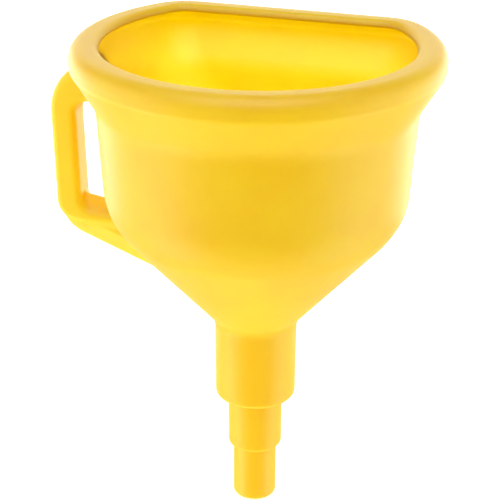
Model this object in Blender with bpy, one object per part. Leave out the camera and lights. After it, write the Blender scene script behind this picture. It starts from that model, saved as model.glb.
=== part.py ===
"""Hand funnel with a D-shaped mouth, a loop handle and a stepped spout.

The real funnel is one blow-moulded piece of translucent yellow polyethylene. Here it is
divided at its natural sections, and neighbouring sections keep a small gap. Z is the
spout's axis, +Y points out of the flat side of the mouth, and the handle is at -X. Z = 0
is the throat, where the cone ends and the widest step of the spout begins.
"""

import math

import bmesh
import bpy
from mathutils import Vector

# Driving dimensions, in metres.
WALL = 0.0022
GAP = 0.0003

# Mouth and rim bead: the outer outline is a circle cut off by a flat.
RIM_RADIUS = 0.120
RIM_INSIDE_RADIUS = 0.1006
RIM_TOP = 0.204
LIP_HEIGHT = 0.1978
CROWN_INSIDE_RADIUS = 0.1022
CROWN_INSIDE_FILLET = 0.007
CROWN_OUTSIDE_FILLET = 0.0095
BEAD_BOTTOM = 0.1893
BEAD_BOTTOM_FILLET = 0.005
FLAT_DEPTH = 0.0329
CORNER_CENTRE = 0.0847

# Bowl and cone: corners of the outer profile, and the fillet at each.
BOWL_TOP_RADIUS = 0.1042
BOWL_TOP = 0.1638
BOWL_TOP_FILLET = 0.014
BOWL_FOOT_RADIUS = 0.0999
BOWL_FOOT = 0.0897
BOWL_FOOT_FILLET = 0.052
THROAT_RADIUS = 0.0280
CONE_FOOT = 0.0090
CONE_FOOT_FILLET = 0.014

# Heights where one section of the moulding meets the next.
RIM_TO_BOWL = 0.158
BOWL_TO_CONE = 0.074

# The flat side fades into the round cone between these heights, and its corners widen.
FLAT_FADE_START = 0.105
FLAT_FADE_END = CONE_FOOT
CORNER_FADE_START = 0.188
CORNER_FADE_END = 0.130

# Spout steps: top radius, bottom radius, bottom height, shoulder rounding.
SPOUT_STEPS = {
    "spout_stage_large": (THROAT_RADIUS, 0.0275, -0.0493, 0.0036),
    "spout_stage_medium": (0.0187, 0.0185, -0.0893, 0.0028),
    "spout_stage_small": (0.0150, 0.0149, -0.1305, 0.0030),
}
OUTLET_RADIUS = 0.0106
SPOUT_SIDES = 40

# Facets: steps in a fillet, and the longest stretch of wall between two rings.
FILLET_STEPS = 4
RING_SPACING = 0.018

# Handle: a hollow loop of rounded rectangular section in the XZ plane.
HANDLE_WIDTH = 0.0205
HANDLE_EDGE = 0.0055
HANDLE_EDGE_SHARE = 0.42
GRIP_TOP = 0.150
GRIP_FOOT = 0.090
GRIP_OUTSIDE = 0.1423
GRIP_INSIDE = 0.1245
GRIP_LEAN = 0.0014
WINDOW_TOP = 0.1530
WINDOW_FOOT = 0.0757
LOWER_ARM_FOOT = 0.0660
LOWER_ARM_END = 0.072

# Gusset under the lower arm: a keel that is thick at the arm and thin at its edge.
GUSSET_TOP_WIDTH = 0.0170
GUSSET_EDGE_WIDTH = 0.0050
GUSSET_END = 0.038
GUSSET_TAPER = 1.4

# How much wider than the body the cutter is: a gap, measured square to the cone's slope.
CUTTER_MARGIN = GAP / math.cos(math.radians(45))


# ---------------------------------------------------------------- profiles and outlines

def blend(start, end, value):
    """Smooth step: 0 at start, 1 at end."""
    share = min(max((value - start) / (end - start), 0.0), 1.0)
    return share * share * (3.0 - 2.0 * share)


def rounded_path(corners, steps):
    """Return a path through corners (x, y, fillet radius), with an arc at each fillet."""
    path = [Vector(corners[0][:2])]
    for before, corner, after in zip(corners, corners[1:], corners[2:]):
        point = Vector(corner[:2])
        fillet = corner[2]
        if fillet == 0:
            path.append(point)
            continue
        back = (Vector(before[:2]) - point).normalized()
        ahead = (Vector(after[:2]) - point).normalized()
        half = back.angle(ahead) / 2
        centre = point + (back + ahead).normalized() * fillet / math.sin(half)
        first = point + back * fillet / math.tan(half) - centre
        last = point + ahead * fillet / math.tan(half) - centre
        turn = first.angle_signed(last)
        for step in range(steps + 1):
            angle = -turn * step / steps
            path.append(centre + Vector((
                first.x * math.cos(angle) - first.y * math.sin(angle),
                first.x * math.sin(angle) + first.y * math.cos(angle))))
    path.append(Vector(corners[-1][:2]))
    return path


def offset_path(path, distance):
    """Return the path moved sideways, to its left, by distance."""
    moved = []
    for index, point in enumerate(path):
        before = path[max(index - 1, 0)]
        after = path[min(index + 1, len(path) - 1)]
        along_in = (point - before).normalized() if index else (after - point).normalized()
        along_out = (after - point).normalized() if after is not point else along_in
        normal_in = Vector((-along_in.y, along_in.x))
        normal_out = Vector((-along_out.y, along_out.x))
        middle = (normal_in + normal_out).normalized()
        moved.append(point + middle * distance / middle.dot(normal_in))
    return moved


def clip_path(path, high, low):
    """Return the stretch of a falling path of (radius, height) between two heights."""
    kept = []
    for start, end in zip(path, path[1:]):
        if start.y <= low or end.y >= high:
            continue
        fall = start.y - end.y
        first = start.lerp(end, (start.y - high) / fall) if start.y > high else start
        last = start.lerp(end, (start.y - low) / fall) if end.y < low else end
        if not kept:
            kept.append(first)
        kept.append(last)
    return kept


def cut_off(path, low):
    """Return the path up to where it falls past a height."""
    kept = [path[0]]
    for start, end in zip(path, path[1:]):
        if end.y < low:
            kept.append(start.lerp(end, (start.y - low) / (start.y - end.y)))
            break
        kept.append(end)
    return kept


def subdivided(path, longest):
    """Return the path with its long straight stretches split."""
    points = [path[0]]
    for start, end in zip(path, path[1:]):
        pieces = max(1, math.ceil((end - start).length / longest))
        for piece in range(1, pieces + 1):
            points.append(start.lerp(end, piece / pieces))
    return points


def body_path():
    """Outer profile from the trimmed lip, over the crown, and down to the throat."""
    corners = [
        (RIM_INSIDE_RADIUS, LIP_HEIGHT, 0),
        (CROWN_INSIDE_RADIUS, RIM_TOP, CROWN_INSIDE_FILLET),
        (RIM_RADIUS, RIM_TOP, CROWN_OUTSIDE_FILLET),
        (RIM_RADIUS, BEAD_BOTTOM, BEAD_BOTTOM_FILLET),
        (BOWL_TOP_RADIUS, BOWL_TOP, BOWL_TOP_FILLET),
        (BOWL_FOOT_RADIUS, BOWL_FOOT, BOWL_FOOT_FILLET),
        (THROAT_RADIUS, CONE_FOOT, CONE_FOOT_FILLET),
        (THROAT_RADIUS, 0, 0),
    ]
    return rounded_path(corners, FILLET_STEPS)


def outline_angles():
    """Angles around the mouth for x >= 0, from the front to the middle of the flat."""
    angles = [math.radians(-90 + 115 * step / 16) for step in range(16)]
    angles += [math.radians(25 + 4 * step) for step in range(10)]
    angles += [math.radians(65 + 25 * step / 3) for step in range(4)]
    return angles


def reach(angle, radius, height):
    """Distance from the axis to the D outline of a given radius, at an angle and height."""
    flat_depth = FLAT_DEPTH * blend(FLAT_FADE_END, FLAT_FADE_START, height)
    spread = (CORNER_CENTRE - FLAT_DEPTH) * blend(CORNER_FADE_END, CORNER_FADE_START, height)
    centre_distance = flat_depth + spread
    centre = Vector((
        math.sqrt(max(centre_distance ** 2 - spread ** 2, 0.0)), spread))
    if flat_depth < 1e-6 or angle <= math.atan2(centre.y, centre.x):
        return radius
    flat = radius - flat_depth
    if flat / math.tan(angle) <= centre.x:
        return flat / math.sin(angle)
    along = centre.x * math.cos(angle) + centre.y * math.sin(angle)
    corner = radius - centre_distance
    return along + math.sqrt(along ** 2 - centre.length_squared + corner ** 2)


def mouth_ring(radius, height):
    """One closed D-shaped ring of points at a height."""
    half = []
    for angle in outline_angles():
        distance = reach(angle, radius, height)
        half.append((distance * math.cos(angle), distance * math.sin(angle), height))
    mirrored = [(-x, y, z) for x, y, z in reversed(half[1:-1])]
    return half + mirrored


def round_ring(radius, height):
    """One closed circle of points at a height."""
    turns = [2 * math.pi * side / SPOUT_SIDES for side in range(SPOUT_SIDES)]
    return [(radius * math.cos(turn), radius * math.sin(turn), height) for turn in turns]


# ---------------------------------------------------------------- mesh building

def new_object(name, mesh_data, material):
    """Make an object from a bmesh, with its faces pointing out."""
    bmesh.ops.recalc_face_normals(mesh_data, faces=mesh_data.faces)
    mesh = bpy.data.meshes.new(name)
    mesh_data.to_mesh(mesh)
    mesh_data.free()
    mesh.shade_smooth()
    mesh.set_sharp_from_angle(angle=math.radians(40))
    item = bpy.data.objects.new(name, mesh)
    bpy.context.scene.collection.objects.link(item)
    if material is not None:
        mesh.materials.append(material)
    return item


def bridged(mesh_data, rings, closed):
    """Add rings of points and the faces between them; closed joins the last to the first."""
    loops = [[mesh_data.verts.new(point) for point in ring] for ring in rings]
    pairs = list(zip(loops, loops[1:]))
    if closed:
        pairs.append((loops[-1], loops[0]))
    for upper, lower in pairs:
        for index in range(len(upper)):
            following = (index + 1) % len(upper)
            mesh_data.faces.new(
                (upper[index], upper[following], lower[following], lower[index]))
    return loops


def shell_of_rings(name, rings, material):
    """A wall that is closed all the way round: outer rings, then inner rings."""
    mesh_data = bmesh.new()
    bridged(mesh_data, rings, closed=True)
    return new_object(name, mesh_data, material)


def capped_solid(name, rings, material):
    """A solid through a stack of rings, closed by a cap at each end."""
    mesh_data = bmesh.new()
    loops = bridged(mesh_data, rings, closed=False)
    mesh_data.faces.new(loops[0])
    mesh_data.faces.new(reversed(loops[-1]))
    return new_object(name, mesh_data, material)


def plastic(name, tint):
    """Yellow polyethylene; tint shifts the shade a little from section to section."""
    material = bpy.data.materials.new(name)
    material.use_nodes = True
    shader = material.node_tree.nodes["Principled BSDF"]
    shader.inputs["Base Color"].default_value = (0.93, 0.66 + tint, 0.05, 1.0)
    shader.inputs["Roughness"].default_value = 0.38
    shader.inputs["Metallic"].default_value = 0.0
    return material


# ---------------------------------------------------------------- mouth, bowl and cone

def wall_rings(outer, inner):
    """Rings of a wall: down its outer face, then up its inner face."""
    down = [mouth_ring(point.x, point.y) for point in outer]
    up = [mouth_ring(point.x, point.y) for point in reversed(inner)]
    return down + up


def make_rim_bead(path, inside):
    """Rolled bead, open below and inside, with the flare that leads into the bowl."""
    rings = wall_rings(cut_off(path, RIM_TO_BOWL), cut_off(inside, RIM_TO_BOWL))
    return shell_of_rings("rim_bead", rings, plastic("rim_bead", 0.0))


def make_wall_section(name, path, inside, high, low, tint):
    """A stretch of bowl or cone wall between two heights."""
    outer = subdivided(clip_path(path, high, low), RING_SPACING)
    inner = subdivided(clip_path(inside, high, low), RING_SPACING)
    return shell_of_rings(name, wall_rings(outer, inner), plastic(name, tint))


# ---------------------------------------------------------------- spout

def make_spout():
    """Three tubes, each stepping in to the next through a rounded shoulder."""
    top = -GAP
    names = list(SPOUT_STEPS)
    for index, name in enumerate(names):
        top_radius, foot_radius, foot, rounding = SPOUT_STEPS[name]
        if index + 1 < len(names):
            mouth_radius = SPOUT_STEPS[names[index + 1]][0] - WALL
        else:
            mouth_radius = OUTLET_RADIUS
        outer = rounded_path([
            (top_radius, top, 0), (foot_radius, foot, rounding), (mouth_radius, foot, 0)], 4)
        inner = [
            Vector((mouth_radius, foot + WALL)),
            Vector((foot_radius - WALL, foot + WALL)),
            Vector((top_radius - WALL, top))]
        rings = [round_ring(point.x, point.y) for point in outer + inner]
        shell_of_rings(name, rings, plastic(name, 0.01 * index))
        top = foot - GAP


# ---------------------------------------------------------------- handle

def handle_section(outside, inside, inset):
    """Rounded rectangle between two points of the XZ plane, as wide as the handle."""
    middle = (outside + inside) / 2
    depth_here = (outside - inside).length
    across = (outside - inside).normalized()
    half_depth = depth_here / 2 - inset
    half_width = HANDLE_WIDTH / 2 - inset
    edge = min(HANDLE_EDGE, depth_here * HANDLE_EDGE_SHARE) - inset
    points = []
    for quarter, (side_u, side_v) in enumerate([(1, 1), (-1, 1), (-1, -1), (1, -1)]):
        for step in range(4):
            angle = math.radians(90 * quarter + 30 * step)
            depth = side_u * (half_depth - edge) + edge * math.cos(angle)
            width = side_v * (half_width - edge) + edge * math.sin(angle)
            point = middle + across * depth
            points.append((point.x, width, point.y))
    return points


def handle_tube(name, stations, tint):
    """Hollow tube through stations of (outside point, inside point)."""
    stations = [(Vector(outside), Vector(inside)) for outside, inside in stations]
    outer = [handle_section(outside, inside, 0.0) for outside, inside in stations]
    inner = [handle_section(outside, inside, WALL) for outside, inside in reversed(stations)]
    return shell_of_rings(name, outer + inner, plastic(name, tint))


def grip_faces(height):
    """Outside and inside face of the grip, which leans in a little towards its foot."""
    lean = GRIP_LEAN * (GRIP_TOP - height) / (GRIP_TOP - GRIP_FOOT)
    return (-GRIP_OUTSIDE + lean, height), (-GRIP_INSIDE + lean, height)


def make_grip():
    """The upright run of the handle."""
    heights = [GRIP_TOP - (GRIP_TOP - GRIP_FOOT) * step / 4 for step in range(5)]
    return handle_tube("handle_grip", [grip_faces(height) for height in heights], 0.0)


def make_upper_arm():
    """From the grip's top over a wide bend, in under the rim."""
    outside, inside = grip_faces(GRIP_TOP + GAP)
    stations = [
        (outside, inside),
        ((-0.1407, 0.1554), (-0.1240, 0.1522)),
        ((-0.1387, 0.1606), (-0.1225, WINDOW_TOP)),
        ((-0.1324, 0.1698), (-0.1165, WINDOW_TOP)),
        ((-0.1235, 0.1767), (-0.1075, WINDOW_TOP)),
        ((-0.1080, 0.1828), (-0.0950, WINDOW_TOP)),
    ]
    return handle_tube("handle_upper_arm", stations, 0.005)


def make_lower_arm():
    """From the grip's foot round the lower bend, level into the bowl's wall."""
    outside, inside = grip_faces(GRIP_FOOT - GAP)
    stations = [
        (outside, inside),
        ((-0.1400, 0.0775), (-0.1215, 0.0828)),
        ((-0.1359, 0.0706), (-0.1180, 0.0780)),
        ((-0.1278, LOWER_ARM_FOOT), (-0.1140, WINDOW_FOOT)),
        ((-0.1070, LOWER_ARM_FOOT), (-0.1060, WINDOW_FOOT)),
        ((-LOWER_ARM_END, LOWER_ARM_FOOT), (-LOWER_ARM_END, WINDOW_FOOT)),
    ]
    return handle_tube("handle_lower_arm", stations, 0.005)


def make_gusset():
    """Keel below the lower arm: its straight bottom edge runs down to the cone."""
    pairs = [
        ((-0.1397, 0.0725), (-0.1389, 0.0749)),
        ((-0.1374, 0.0669), (-0.1363, 0.0702)),
        ((-0.1312, 0.0598), (-0.1280, LOWER_ARM_FOOT - GAP)),
        ((-0.1250, 0.0563), (-0.1215, LOWER_ARM_FOOT - GAP)),
        ((-0.1070, 0.0496), (-0.1070, LOWER_ARM_FOOT - GAP)),
        ((-0.0800, 0.0395), (-0.0830, LOWER_ARM_FOOT - GAP)),
        ((-GUSSET_END, 0.0237), (-GUSSET_END, LOWER_ARM_FOOT - GAP)),
    ]
    rings = []
    for (edge_x, edge_z), (top_x, top_z) in pairs:
        depth = math.hypot(edge_x - top_x, edge_z - top_z)
        top = min(GUSSET_TOP_WIDTH, GUSSET_EDGE_WIDTH + depth * GUSSET_TAPER) / 2
        edge = GUSSET_EDGE_WIDTH / 2
        rings.append([
            (edge_x, -edge, edge_z), (top_x, -top, top_z),
            (top_x, top, top_z), (edge_x, edge, edge_z)])
    return capped_solid("handle_gusset", rings, plastic("handle_gusset", -0.01))


def body_cutter(path):
    """The space that the mouth, bowl and cone take up, a gap wider all round."""
    equator = next(i for i, point in enumerate(path) if point.x >= RIM_RADIUS - 1e-6)
    wide = subdivided(path[equator:], RING_SPACING)
    rings = [mouth_ring(point.x + CUTTER_MARGIN, point.y) for point in wide]
    cutter = capped_solid("body_cutter", rings, None)
    cutter.hide_render = True
    cutter.display_type = "WIRE"
    return cutter


def cut_to_body(item, cutter):
    """Trim a handle piece to the body's surface."""
    trim = item.modifiers.new("trim_to_body", "BOOLEAN")
    trim.operation = "DIFFERENCE"
    trim.solver = "EXACT"
    trim.object = cutter


# ---------------------------------------------------------------- assembly

def main():
    for item in list(bpy.data.objects):
        bpy.data.objects.remove(item, do_unlink=True)
    path = body_path()
    inside = offset_path(path, -WALL)
    make_rim_bead(path, inside)
    make_wall_section("bowl", path, inside, RIM_TO_BOWL - GAP, BOWL_TO_CONE, 0.01)
    make_wall_section("cone", path, inside, BOWL_TO_CONE - GAP, 0.0, 0.02)
    make_spout()
    make_grip()
    cutter = body_cutter(path)
    for item in (make_upper_arm(), make_lower_arm(), make_gusset()):
        cut_to_body(item, cutter)


main()
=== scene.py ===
"""Looks of the hand funnel: a blow-moulded skin of translucent yellow polyethylene.

The moulding is lofted from one turned profile, whose rings are D shapes at the mouth and
circles at the spout. The handle is a hollow loop with a solid gusset, given by distance
functions, that runs into the bowl with a soft fillet. Lengths are in metres, in the
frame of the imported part: Z is the spout's axis, +Y leaves the flat side of the mouth,
and the handle is at -X.
"""

import math

import bmesh
import bpy
import numpy as np
from mathutils import Matrix, Vector


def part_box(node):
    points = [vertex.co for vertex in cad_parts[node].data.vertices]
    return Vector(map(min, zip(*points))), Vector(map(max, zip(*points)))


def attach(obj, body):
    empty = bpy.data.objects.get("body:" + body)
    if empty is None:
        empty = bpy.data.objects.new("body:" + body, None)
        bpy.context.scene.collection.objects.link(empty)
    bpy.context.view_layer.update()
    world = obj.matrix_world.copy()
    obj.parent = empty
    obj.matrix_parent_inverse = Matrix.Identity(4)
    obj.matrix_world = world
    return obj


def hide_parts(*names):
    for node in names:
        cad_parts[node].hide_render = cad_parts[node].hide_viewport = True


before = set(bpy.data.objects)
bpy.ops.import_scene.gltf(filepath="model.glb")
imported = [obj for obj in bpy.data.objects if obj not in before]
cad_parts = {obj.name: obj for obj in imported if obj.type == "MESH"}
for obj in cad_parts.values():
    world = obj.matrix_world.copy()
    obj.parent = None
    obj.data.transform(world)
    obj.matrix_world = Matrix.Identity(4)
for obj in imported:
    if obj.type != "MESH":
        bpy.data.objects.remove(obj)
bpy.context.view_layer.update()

# ---------------------------------------------------------------- sizes from the frame

RIM_LOW, RIM_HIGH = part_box("rim_bead")
RIM_RADIUS = -RIM_LOW.y
RIM_TOP = RIM_HIGH.z
FLAT_DEPTH = RIM_RADIUS - RIM_HIGH.y
GRIP_LOW, GRIP_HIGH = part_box("handle_grip")
HANDLE_WIDTH = GRIP_HIGH.y - GRIP_LOW.y
STAGE_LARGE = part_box("spout_stage_large")
STAGE_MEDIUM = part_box("spout_stage_medium")
STAGE_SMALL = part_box("spout_stage_small")
THROAT_RADIUS = STAGE_LARGE[1].x
SPOUT_TIP = STAGE_SMALL[0].z

WALL = 0.0022

# D shape: distance from the axis to the centres of its two corner arcs, and the heights
# over which the flat side and the spread of the corners fade in from a circle.
CORNER_CENTRE = 0.0847
FLAT_FADE = (0.0090, 0.105)
CORNER_FADE = (0.130, 0.188)

# Outer profile of the body from lip to outlet, as (radius, height, fillet) corners.
BODY_CORNERS = [
    (0.1006, RIM_TOP - 0.0046, 0),
    (0.1016, RIM_TOP, 0.0046),
    (RIM_RADIUS, RIM_TOP, 0.0095),
    (RIM_RADIUS, RIM_TOP - 0.0147, 0.0068),
    (0.1042, 0.1632, 0.0240),
    (0.0999, 0.0897, 0.0520),
    (THROAT_RADIUS, 0.0090, 0.0140),
    (THROAT_RADIUS - 0.0005, STAGE_LARGE[0].z, 0.0036),
    (STAGE_MEDIUM[1].x, STAGE_LARGE[0].z, 0.0010),
    (STAGE_MEDIUM[1].x - 0.0002, STAGE_MEDIUM[0].z, 0.0028),
    (STAGE_SMALL[1].x, STAGE_MEDIUM[0].z, 0.0004),
    (STAGE_SMALL[1].x - 0.0001, SPOUT_TIP, 0.0030),
    (0.0106, SPOUT_TIP, 0),
]
FILLET_STEPS = 14
RING_SPACING = 0.004
RING_SIDES = 320

# Mould parting ridge, where the two halves of the mould met: at +X and -X.
RIDGE_HEIGHT = 0.00012
RIDGE_WIDTH = 0.0005
RIDGE_ANGLES = [-0.0075, -0.0045, -0.0022, 0.0022, 0.0045, 0.0075]

# Handle outlines in the XZ plane, as (x, z, fillet) corners.
OUTER_OUTLINE = [
    (-0.060, 0.2000, 0),
    (-0.1040, 0.1842, 0.020),
    (-0.1428, 0.1702, 0.036),
    (-0.1404, 0.0660, 0.0160),
    (-0.060, 0.0660, 0),
]
WINDOW_OUTLINE = [
    (-0.060, 0.1530, 0),
    (-0.1246, 0.1530, 0.0085),
    (-0.1225, 0.0757, 0.0100),
    (-0.060, 0.0757, 0),
]
GUSSET_OUTLINE = [
    (-0.060, 0.0760, 0),
    (-0.1408, 0.0880, 0),
    (-0.1402, 0.0620, 0.0240),
    (-0.0360, 0.0230, 0),
    (-0.0200, 0.0600, 0),
]

# Handle section: rounded edges, a gusset that thickens upward from its edge, and fillets.
HANDLE_EDGE = 0.0048
GUSSET_EDGE_HALF = 0.0025
GUSSET_TAPER = 0.42
GUSSET_HALF_MOST = 0.0082
GUSSET_ROUNDING = 0.0020
ARM_FILLET = 0.0055
GUSSET_FILLET = 0.0035

# Skirt that blends the handle into the bowl: its reach past the handle as a share of the
# fillet, its depth in the wall, and how far its outer face sinks below the wall's.
SKIRT_REACH = 1.05
SKIRT_DEPTH = 0.0016
SKIRT_SINK = 0.00005

# Grid that the handle is meshed on, and rounds of moving its points onto the surface.
CELL = 0.0008
GRID_LOW = (-0.1470, -0.018, 0.012)
GRID_HIGH = (-0.0230, 0.018, 0.196)
SETTLING_ROUNDS = 6

# How far light reaches into the wall, in metres, and its share in the thicker spout. The
# share grows to 1 between two heights, given as shares of the way from spout tip to rim.
BODY_GLOW = 0.0105
HANDLE_GLOW = 0.004
SPOUT_GLOW = 0.30
SPOUT_FADE = (0.38, 0.52)
GLOW_COLOURS = (1.0, 1.0, 0.1)

# Base colours, deepest and palest of the faint mottling.
BODY_YELLOW = (0.91, 0.485, 0.005, 1), (0.93, 0.525, 0.008, 1)
HANDLE_YELLOW = (0.90, 0.585, 0.006, 1), (0.92, 0.625, 0.010, 1)
THICK_YELLOW = (0.91, 0.580, 0.008, 1)

# Satin finish.
MOTTLE_SCALE = 22.0
MOTTLE_RANGE = (0.35, 0.65)
GRAIN_SCALE = 900.0
GRAIN_STRENGTH = 0.05
GRAIN_HEIGHT = 0.0003
ROUGHNESS = (0.40, 0.50)
SHEEN = 0.16
SHEEN_ROUGHNESS = 0.35
REFRACTION = 1.53

# Floor.
FLOOR_RADIUS = 8.0
FLOOR_SIDES = 96
FLOOR_COLOUR = (0.9, 0.9, 0.9)
FLOOR_ROUGHNESS = 0.9
FLOOR_GLOW = 0.6

# Light: square panels that face the funnel, as (name, azimuth, elevation, size, power).
# Azimuths run from the front, -Y, towards +X.
SKY_STRENGTH = 0.2
PANEL_CENTRE = (0, 0, 0.08)
PANEL_DISTANCE = 1.5
PANELS = [
    ("left_panel", -68, 5, 1.8, 12),
    ("right_panel", 102, 5, 1.8, 11),
    ("back_panel", 197, 10, 2.2, 20),
    ("top_panel", 10, 66, 1.4, 16),
    ("back_left_panel", -118, -8, 1.0, 9),
    ("back_right_panel", 151, -8, 1.0, 9),
    ("under_panel", 17, -78, 1.4, 2.5),
    ("low_left_panel", -60, -40, 1.0, 6),
    ("low_right_panel", 94, -40, 1.0, 5),
]

# Camera: direction and roll in degrees, then the point it looks at and its distance.
CAMERA_AZIMUTH = 16.68
CAMERA_ELEVATION = 24.04
CAMERA_ROLL = 0.39
TARGET_ASIDE = -0.00437
TARGET_HEIGHT = 0.0586
CAMERA_DISTANCE = 0.9971
SENSOR_WIDTH = 36.0
LENS = 107.0


# ---------------------------------------------------------------- outlines

def rounded_path(corners, steps):
    """Return points through corners (u, v, fillet radius), with an arc at each fillet."""
    path = [Vector(corners[0][:2])]
    for before, corner, after in zip(corners, corners[1:], corners[2:]):
        point = Vector(corner[:2])
        fillet = corner[2]
        if fillet == 0:
            path.append(point)
            continue
        back = (Vector(before[:2]) - point).normalized()
        ahead = (Vector(after[:2]) - point).normalized()
        half = back.angle(ahead) / 2
        centre = point + (back + ahead).normalized() * fillet / math.sin(half)
        first = point + back * fillet / math.tan(half) - centre
        last = point + ahead * fillet / math.tan(half) - centre
        turn = -first.angle_signed(last)
        for step in range(steps + 1):
            path.append(centre + Matrix.Rotation(turn * step / steps, 2) @ first)
    path.append(Vector(corners[-1][:2]))
    return np.array([tuple(point) for point in path])


def subdivided(path, longest):
    """Return the path with its long stretches split."""
    points = [path[:1]]
    for start, end in zip(path, path[1:]):
        pieces = max(1, math.ceil(np.linalg.norm(end - start) / longest))
        shares = np.arange(1, pieces + 1)[:, None] / pieces
        points.append(start + (end - start) * shares)
    return np.concatenate(points)


def offset_path(path, distance):
    """Return the path moved sideways, to its left, by distance."""
    along = np.diff(path, axis=0)
    along /= np.linalg.norm(along, axis=1)[:, None]
    normal = np.column_stack([-along[:, 1], along[:, 0]])
    arriving = np.vstack([normal[:1], normal])
    leaving = np.vstack([normal, normal[-1:]])
    middle = arriving + leaving
    middle /= np.linalg.norm(middle, axis=1)[:, None]
    return path + middle * distance / np.sum(middle * arriving, axis=1)[:, None]


def smooth_step(start, end, value):
    """0 at start, 1 at end."""
    share = np.clip((value - start) / (end - start), 0.0, 1.0)
    return share * share * (3.0 - 2.0 * share)


def reach(angle, radius, height):
    """Distance from the axis to the D outline of each radius, at each angle and height."""
    flat_depth = FLAT_DEPTH * smooth_step(*FLAT_FADE, height)
    spread = (CORNER_CENTRE - FLAT_DEPTH) * smooth_step(*CORNER_FADE, height)
    centre_distance = flat_depth + spread
    centre_x = np.sqrt(np.maximum(centre_distance ** 2 - spread ** 2, 0.0))
    side = np.abs(np.cos(angle))
    rise = np.sin(angle)
    along = centre_x * side + spread * rise
    corner = radius - centre_distance
    in_corner = along + np.sqrt(np.maximum(
        along ** 2 - centre_distance ** 2 + corner ** 2, 0.0))
    flat = (radius - flat_depth) / np.maximum(rise, 1e-6)
    on_circle = (rise * centre_x <= side * spread) | (flat_depth < 1e-6)
    on_flat = (flat * side <= centre_x) & (rise > 0)
    return np.where(on_circle, radius, np.where(on_flat, flat, in_corner))


# ---------------------------------------------------------------- meshes

def new_piece(name, points, faces, material):
    """Make an object from points and faces, smooth shaded, its faces pointing out."""
    mesh = bpy.data.meshes.new(name)
    mesh.from_pydata([tuple(point) for point in points], [], faces)
    mesh_data = bmesh.new()
    mesh_data.from_mesh(mesh)
    bmesh.ops.recalc_face_normals(mesh_data, faces=mesh_data.faces)
    mesh_data.to_mesh(mesh)
    mesh_data.free()
    mesh.shade_smooth()
    mesh.materials.append(material)
    piece = bpy.data.objects.new(name, mesh)
    bpy.context.scene.collection.objects.link(piece)
    return piece


def ring_angles():
    """Angles round the moulding, with a few more across each parting ridge."""
    even = np.arange(RING_SIDES) * 2 * math.pi / RING_SIDES
    close = np.array(RIDGE_ANGLES)
    return np.unique(np.concatenate([even, close % (2 * math.pi), close + math.pi]))


def lofted(name, profile, ridged, material):
    """A closed skin through D rings, one for each point of a closed profile."""
    angles = ring_angles()
    radius = profile[:, :1]
    height = profile[:, 1:]
    distance = reach(angles[None, :], radius, height)
    offside = np.abs(distance * np.sin(angles))
    ridge = RIDGE_HEIGHT * np.clip(1 - (offside / RIDGE_WIDTH) ** 2, 0, 1)
    distance = distance + ridge * ridged[:, None]
    points = np.stack([
        distance * np.cos(angles), distance * np.sin(angles),
        np.broadcast_to(height, distance.shape)], axis=-1).reshape(-1, 3)
    rings, sides = distance.shape
    index = np.arange(rings * sides).reshape(rings, sides)
    beside = np.roll(index, -1, axis=1)
    below = np.roll(index, -1, axis=0)
    across = np.roll(below, -1, axis=1)
    faces = np.stack([index, beside, across, below], axis=-1).reshape(-1, 4)
    return new_piece(name, points, faces.tolist(), material)


def body_profile():
    """Outer profile from the trimmed lip down to the outlet."""
    return subdivided(rounded_path(BODY_CORNERS, FILLET_STEPS), RING_SPACING)


def make_body(material):
    """The mouth, bowl, cone and spout as one wall of even thickness."""
    outer = body_profile()
    inner = offset_path(outer, -WALL)[::-1]
    profile = np.vstack([outer, inner])
    ridged = np.concatenate([np.ones(len(outer)), np.zeros(len(inner))])
    ridged[0] = 0
    ridged[len(outer) - 1] = 0
    return lofted("funnel_moulding", profile, ridged, material)


# ---------------------------------------------------------------- handle as distance fields

def polygon_distance(x, z, outline):
    """Signed distance to a closed outline in the XZ plane, negative inside."""
    nearest = np.full(np.broadcast(x, z).shape, np.inf)
    inside = np.zeros(nearest.shape, bool)
    for (x1, z1), (x2, z2) in zip(outline, np.roll(outline, -1, axis=0)):
        run, rise = x2 - x1, z2 - z1
        length = run * run + rise * rise
        if length < 1e-16:
            continue
        share = np.clip(((x - x1) * run + (z - z1) * rise) / length, 0, 1)
        nearest = np.minimum(nearest, np.hypot(x - x1 - share * run, z - z1 - share * rise))
        crosses = (z1 > z) != (z2 > z)
        inside = inside ^ (crosses & (x < x1 + (z - z1) * run / (rise if rise else 1.0)))
    return np.where(inside, -nearest, nearest)


def rounded_slab(across, out, rounding):
    """Distance to a slab with rounded edges, from its in-plane and its sideways distance."""
    u, v = across + rounding, out + rounding
    outside = np.hypot(np.maximum(u, 0), np.maximum(v, 0))
    return outside + np.minimum(np.maximum(u, v), 0) - rounding


def soft_union(a, b, size):
    """Smaller of two distances, with a fillet of about that size where they meet."""
    share = np.maximum(size - np.abs(a - b), 0) / size
    return np.minimum(a, b) - share * share * size / 4


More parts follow.
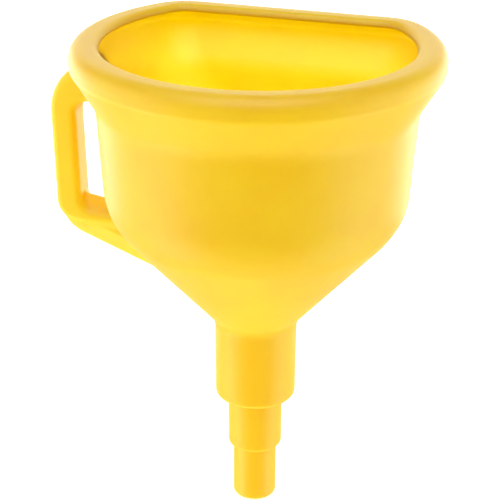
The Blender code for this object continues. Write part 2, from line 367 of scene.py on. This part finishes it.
class HandleField:
    """Distances to the handle, its gusset and the body that they grow from."""

    def __init__(self):
        self.outer = rounded_path(OUTER_OUTLINE, 12)
        self.window = rounded_path(WINDOW_OUTLINE, 10)
        self.gusset = rounded_path(GUSSET_OUTLINE, 14)
        profile = body_profile()
        wall = profile[np.argmax(profile[:, 0] >= RIM_RADIUS - 1e-6):][::-1]
        slope = np.gradient(wall[:, 0]) / np.gradient(wall[:, 1])
        self.heights = wall[:, 1]
        self.radii = wall[:, 0]
        self.facing = 1 / np.sqrt(1 + slope ** 2)

    def body(self, x, y, z):
        """Distance outside the bowl and cone."""
        radius = np.interp(z, self.heights, self.radii)
        return (np.hypot(x, y) - radius) * np.interp(z, self.heights, self.facing)

    def loop(self, x, y, z):
        """Distance outside the loop that the hand holds."""
        plane = np.maximum(
            polygon_distance(x, z, self.outer), -polygon_distance(x, z, self.window))
        return rounded_slab(plane, np.abs(y) - HANDLE_WIDTH / 2, HANDLE_EDGE)

    def keel(self, x, y, z):
        """Distance outside the gusset, which is thin at its edge and thicker above."""
        plane = polygon_distance(x, z, self.gusset)
        half = np.minimum(
            GUSSET_EDGE_HALF + GUSSET_TAPER * np.maximum(-plane, 0), GUSSET_HALF_MOST)
        return rounded_slab(plane, np.abs(y) - half, GUSSET_ROUNDING)

    def __call__(self, x, y, z):
        """Distance outside the hollow handle with the skirt that blends it into the wall."""
        loop = self.loop(x, y, z)
        body = self.body(x, y, z)
        grown = soft_union(loop, self.keel(x, y, z), GUSSET_FILLET)
        blended = soft_union(grown, body, ARM_FILLET) + SKIRT_SINK
        hollow = np.maximum(loop + WALL, SKIRT_DEPTH - body)
        trimmed = np.maximum(-(body + SKIRT_DEPTH), grown - ARM_FILLET * SKIRT_REACH)
        return np.maximum(np.maximum(blended, trimmed), -hollow)


def surface_nets(field, low, high, cell):
    """Quads over the zero surface of a distance field, their corners at the middles of the
    cells it crosses.
    """
    axes = [np.arange(a, b + cell, cell) for a, b in zip(low, high)]
    inside = field(*np.meshgrid(*axes, indexing="ij", sparse=True)) < 0
    corner_count = sum(
        inside[i:i + inside.shape[0] - 1, j:j + inside.shape[1] - 1,
               k:k + inside.shape[2] - 1].astype(np.int8)
        for i in (0, 1) for j in (0, 1) for k in (0, 1))
    crossed = (corner_count > 0) & (corner_count < 8)
    number = np.full(crossed.shape, -1)
    number[crossed] = np.arange(crossed.sum())
    points = np.array(low) + (np.argwhere(crossed) + 0.5) * cell
    faces = []
    for axis in range(3):
        near = np.moveaxis(inside, axis, 0)
        cells = np.moveaxis(number, axis, 0)
        change = (near[:-1] != near[1:])[:, 1:-1, 1:-1]
        at = np.argwhere(change)
        i, j, k = at[:, 0], at[:, 1], at[:, 2]
        faces.append(np.column_stack([
            cells[i, j, k], cells[i, j + 1, k], cells[i, j + 1, k + 1], cells[i, j, k + 1]]))
    return points, np.concatenate(faces)


def gradient(field, points, step):
    """Direction in which the field grows."""
    return np.stack([
        (field(*(points + shift).T) - field(*(points - shift).T)) / (2 * step)
        for shift in np.eye(3) * step], axis=-1)


def settled(field, points, cell):
    """Points moved onto the field's zero surface."""
    for _ in range(SETTLING_ROUNDS):
        slope = gradient(field, points, cell / 40)
        size = np.maximum(np.sum(slope ** 2, axis=-1), 0.25)
        step = slope * (field(*points.T) / size)[:, None]
        length = np.linalg.norm(step, axis=-1)[:, None]
        points = points - step * np.minimum(1, cell / 2 / np.maximum(length, 1e-12))
    return points


def make_handle(material):
    """The loop and gusset, blended into the body's wall."""
    field = HandleField()
    points, faces = surface_nets(field, GRID_LOW, GRID_HIGH, CELL)
    points = settled(field, points, CELL)
    return new_piece("handle_moulding", points, faces.tolist(), material)


# ---------------------------------------------------------------- material

def mottled_colour(tree, place, deep, pale):
    """A faint mottling between two yellows: its pattern and its colour."""
    cloud = tree.nodes.new("ShaderNodeTexNoise")
    cloud.inputs["Scale"].default_value = MOTTLE_SCALE
    cloud.inputs["Detail"].default_value = 3.0
    tree.links.new(place, cloud.inputs["Vector"])
    shade = tree.nodes.new("ShaderNodeValToRGB")
    for element, position, colour in zip(shade.color_ramp.elements, MOTTLE_RANGE, (deep, pale)):
        element.position = position
        element.color = colour
    tree.links.new(cloud.outputs["Fac"], shade.inputs["Fac"])
    return cloud.outputs["Fac"], shade.outputs["Color"]


def add_finish(tree, place, pattern, shader):
    """A satin roughness that follows the mottling, and a fine grain."""
    grain = tree.nodes.new("ShaderNodeTexNoise")
    grain.inputs["Scale"].default_value = GRAIN_SCALE
    grain.inputs["Detail"].default_value = 2.0
    tree.links.new(place, grain.inputs["Vector"])
    satin = tree.nodes.new("ShaderNodeMapRange")
    satin.inputs["To Min"].default_value, satin.inputs["To Max"].default_value = ROUGHNESS
    tree.links.new(pattern, satin.inputs["Value"])
    tree.links.new(satin.outputs["Result"], shader.inputs["Roughness"])
    bump = tree.nodes.new("ShaderNodeBump")
    bump.inputs["Strength"].default_value = GRAIN_STRENGTH
    bump.inputs["Distance"].default_value = GRAIN_HEIGHT
    tree.links.new(grain.outputs["Fac"], bump.inputs["Height"])
    tree.links.new(bump.outputs["Normal"], shader.inputs["Normal"])


def glow_share(tree, place):
    """Share of the full reach of light: smaller in the thicker spout, 1 in the bowl."""
    height = tree.nodes.new("ShaderNodeSeparateXYZ")
    tree.links.new(place, height.inputs["Vector"])
    along = tree.nodes.new("ShaderNodeMapRange")
    along.inputs["From Min"].default_value = SPOUT_TIP
    along.inputs["From Max"].default_value = RIM_TOP
    tree.links.new(height.outputs["Z"], along.inputs["Value"])
    ramp = tree.nodes.new("ShaderNodeValToRGB")
    for element, position, share in zip(ramp.color_ramp.elements, SPOUT_FADE, (SPOUT_GLOW, 1)):
        element.position = position
        element.color = (share, share, share, 1)
    tree.links.new(along.outputs["Result"], ramp.inputs["Fac"])
    return ramp.outputs["Color"]


def polyethylene(name, reach_in, deep, pale):
    """Satin translucent yellow, faintly mottled, that light enters as far as reach_in."""
    material = bpy.data.materials.new(name)
    material.use_nodes = True
    tree = material.node_tree
    shader = tree.nodes["Principled BSDF"]
    place = tree.nodes.new("ShaderNodeTexCoord").outputs["Object"]
    pattern, colour = mottled_colour(tree, place, deep, pale)
    add_finish(tree, place, pattern, shader)

    share = glow_share(tree, place)
    thick = tree.nodes.new("ShaderNodeMix")
    thick.data_type = "RGBA"
    thick.inputs["A"].default_value = THICK_YELLOW
    tree.links.new(share, thick.inputs["Factor"])
    tree.links.new(colour, thick.inputs["B"])
    tree.links.new(thick.outputs["Result"], shader.inputs["Base Color"])
    scale = tree.nodes.new("ShaderNodeMath")
    scale.operation = "MULTIPLY"
    scale.inputs[1].default_value = reach_in
    tree.links.new(share, scale.inputs[0])
    tree.links.new(scale.outputs["Value"], shader.inputs["Subsurface Scale"])

    shader.inputs["Subsurface Weight"].default_value = 1.0
    shader.inputs["Subsurface Radius"].default_value = GLOW_COLOURS
    shader.inputs["Sheen Weight"].default_value = SHEEN
    shader.inputs["Sheen Roughness"].default_value = SHEEN_ROUGHNESS
    shader.inputs["IOR"].default_value = REFRACTION
    return material


def pale_floor():
    """Matt, almost white, with a glow of its own."""
    material = bpy.data.materials.new("floor")
    material.use_nodes = True
    shader = material.node_tree.nodes["Principled BSDF"]
    shader.inputs["Base Color"].default_value = (*FLOOR_COLOUR, 1)
    shader.inputs["Roughness"].default_value = FLOOR_ROUGHNESS
    shader.inputs["Emission Color"].default_value = (1, 1, 1, 1)
    shader.inputs["Emission Strength"].default_value = FLOOR_GLOW
    return material


# ---------------------------------------------------------------- studio

def make_floor():
    """A wide pale disc at the level of the spout's end."""
    turns = [2 * math.pi * side / FLOOR_SIDES for side in range(FLOOR_SIDES)]
    points = [
        (FLOOR_RADIUS * math.cos(turn), FLOOR_RADIUS * math.sin(turn), SPOUT_TIP)
        for turn in turns]
    floor = new_piece("floor", points, [list(range(FLOOR_SIDES))], pale_floor())
    floor.visible_glossy = False
    floor.visible_shadow = False


def direction(azimuth, elevation):
    """Unit vector out from the funnel, from angles in radians."""
    return Vector((
        math.sin(azimuth) * math.cos(elevation),
        -math.cos(azimuth) * math.cos(elevation), math.sin(elevation)))


def area_light(name, azimuth, elevation, size, power):
    """A soft square light that faces the funnel from a direction, in degrees."""
    back = direction(math.radians(azimuth), math.radians(elevation))
    light = bpy.data.lights.new(name, "AREA")
    light.shape = "SQUARE"
    light.size = size
    light.energy = power
    item = bpy.data.objects.new(name, light)
    item.location = Vector(PANEL_CENTRE) + back * PANEL_DISTANCE
    item.rotation_euler = (-back).to_track_quat("-Z", "Y").to_euler()
    item.visible_camera = False
    bpy.context.scene.collection.objects.link(item)


def make_light():
    """A white studio: a dim sky, and soft panels all round, above and below."""
    world = bpy.data.worlds.new("studio")
    world.use_nodes = True
    sky = world.node_tree.nodes["Background"]
    sky.inputs["Color"].default_value = (1, 1, 1, 1)
    sky.inputs["Strength"].default_value = SKY_STRENGTH
    bpy.context.scene.world = world
    for panel in PANELS:
        area_light(*panel)


def make_camera():
    """The camera that looks down on the mouth from the front, a little to the right."""
    azimuth = math.radians(CAMERA_AZIMUTH)
    roll = math.radians(CAMERA_ROLL)
    right = Vector((math.cos(azimuth), math.sin(azimuth), 0))
    back = direction(azimuth, math.radians(CAMERA_ELEVATION))
    up = back.cross(right)
    rolled_right = math.cos(roll) * right + math.sin(roll) * up
    rolled_up = math.cos(roll) * up - math.sin(roll) * right
    data = bpy.data.cameras.new("camera")
    data.sensor_width = SENSOR_WIDTH
    data.lens = LENS
    camera = bpy.data.objects.new("camera", data)
    target = right * TARGET_ASIDE + Vector((0, 0, TARGET_HEIGHT))
    turn = Matrix((rolled_right, rolled_up, back)).transposed()
    camera.matrix_world = (
        Matrix.Translation(target + back * CAMERA_DISTANCE) @ turn.to_4x4())
    bpy.context.scene.collection.objects.link(camera)
    bpy.context.scene.camera = camera


def make_funnel():
    """The two skins, which stand for the CAD sections."""
    body = make_body(polyethylene("polyethylene_body", BODY_GLOW, *BODY_YELLOW))
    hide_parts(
        "rim_bead", "bowl", "cone",
        "spout_stage_large", "spout_stage_medium", "spout_stage_small")
    handle = make_handle(polyethylene("polyethylene_handle", HANDLE_GLOW, *HANDLE_YELLOW))
    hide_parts("handle_grip", "handle_upper_arm", "handle_lower_arm", "handle_gusset")
    for piece in (body, handle):
        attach(piece, "root")


make_funnel()
make_floor()
make_light()
make_camera()
bpy.context.scene.view_settings.view_transform = "Standard"
